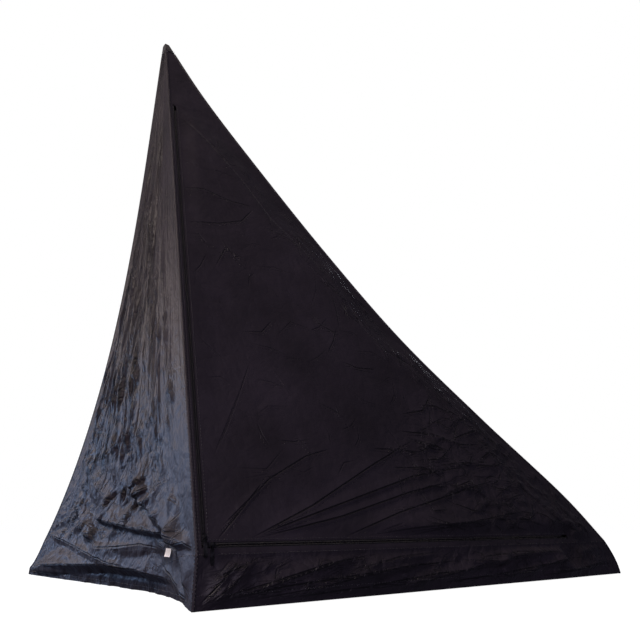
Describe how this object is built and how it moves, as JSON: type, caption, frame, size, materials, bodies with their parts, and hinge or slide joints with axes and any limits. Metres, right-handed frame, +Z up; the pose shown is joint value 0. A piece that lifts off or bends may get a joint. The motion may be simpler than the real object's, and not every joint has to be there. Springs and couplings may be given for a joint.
{
  "type": "film changing tent",
  "caption": "Sit-in half-pyramid tent of black light-proof cloth for changing film, with an inner mast, hem rods and a triangular door closed by two zips.",
  "frame": {"origin": "middle of the floor's outline, on the ground", "axes": "+Z up along the mast, +X from the entrance end towards the low foot, +Y away from the door side"},
  "size_m": [1.35, 1.0013, 1.5],
  "materials": {
    "wall_cloth": "thin black coated nylon, crinkled",
    "floor_cloth": "black coated nylon",
    "label_cloth": "blank woven satin label",
    "webbing": "matt black woven tape",
    "elastic": "braided shock cord",
    "zip_coil": "black nylon coil",
    "zip_metal": "black lacquered zinc",
    "plastic": "moulded black plastic",
    "rubber": "matt black rubber",
    "glass_fibre": "black pultruded glass fibre",
    "alloy": "drawn tube, satin"
  },
  "bodies": {
    "tent": {"end_wall": "wall_cloth", "end_band": "wall_cloth", "far_wall": "wall_cloth", "back_slope": "wall_cloth", "far_band": "wall_cloth", "back_band": "wall_cloth", "near_edge_strip": "wall_cloth", "hip_panel": "wall_cloth", "near_band": "wall_cloth", "upright_baffle": "wall_cloth", "sill_baffle": "wall_cloth", "groundsheet": "floor_cloth", "side_label": "label_cloth", "apex_cap": "webbing", "mast_patch": "webbing", "upright_zip_tape_frame": "webbing", "upright_zip_chain_frame": "zip_coil", "upright_zip_start_stop": "zip_metal", "upright_zip_end_stop": "zip_metal", "sill_zip_tape_frame": "webbing", "sill_zip_chain_frame": "zip_coil", "sill_zip_start_stop": "zip_metal", "sill_zip_end_stop": "zip_metal", "mast_foot": "rubber", "mast_lower": "alloy", "mast_middle": "alloy", "mast_upper": "alloy", "mast_lower_ferrule": "alloy", "mast_upper_ferrule": "alloy", "mast_tip": "plastic", "mast_cord": "elastic", "near_rod_1": "glass_fibre", "near_rod_2": "glass_fibre", "near_rod_3": "glass_fibre", "near_sleeve_1": "alloy", "near_sleeve_2": "alloy", "near_hem_tunnel": "webbing", "near_rod_cap": "plastic", "near_elbow": "plastic", "far_rod_1": "glass_fibre", "far_rod_2": "glass_fibre", "far_rod_3": "glass_fibre", "far_sleeve_1": "alloy", "far_sleeve_2": "alloy", "far_hem_tunnel": "webbing", "far_rod_cap": "plastic", "far_elbow": "plastic", "back_rod_1": "glass_fibre", "back_rod_2": "glass_fibre", "back_sleeve_1": "alloy", "back_hem_tunnel": "webbing"},
    "door": {"door_panel": "wall_cloth", "upright_zip_tape_door": "webbing", "upright_zip_chain_door": "zip_coil", "sill_zip_tape_door": "webbing", "sill_zip_chain_door": "zip_coil"},
    "upright_slider": {"upright_zip_slider": "zip_metal"},
    "upright_pull": {"upright_zip_pull": "zip_metal"},
    "sill_slider": {"sill_zip_slider": "zip_metal"},
    "sill_pull": {"sill_zip_pull": "zip_metal"}
  },
  "joints": [
    {"name": "door_fold", "type": "hinge", "parent": "tent", "child": "door", "pos_m": [-0.08266, -0.29551, 0.6702], "axis": [-0.6596, 0.2458, 0.7103], "range_deg": [0, 170]},
    {"name": "upright_zip_run", "type": "slide", "parent": "tent", "child": "upright_slider", "axis": [0.0378, 0.3268, 0.9443], "range_m": [0, 1.17]},
    {"name": "sill_zip_run", "type": "slide", "parent": "tent", "child": "sill_slider", "axis": [1, 0, 0], "range_m": [0, 1.068]},
    {"name": "upright_pull_swing", "type": "hinge", "parent": "upright_slider", "child": "upright_pull", "pos_m": [-0.65438, -0.49228, 0.11727], "axis": [-0.9993, 0.0124, 0.0357], "range_deg": [0, 175]},
    {"name": "sill_pull_swing", "type": "hinge", "parent": "sill_slider", "child": "sill_pull", "pos_m": [-0.64187, -0.49652, 0.105], "axis": [-1, 0, 0], "range_deg": [0, 170]}
  ]
}
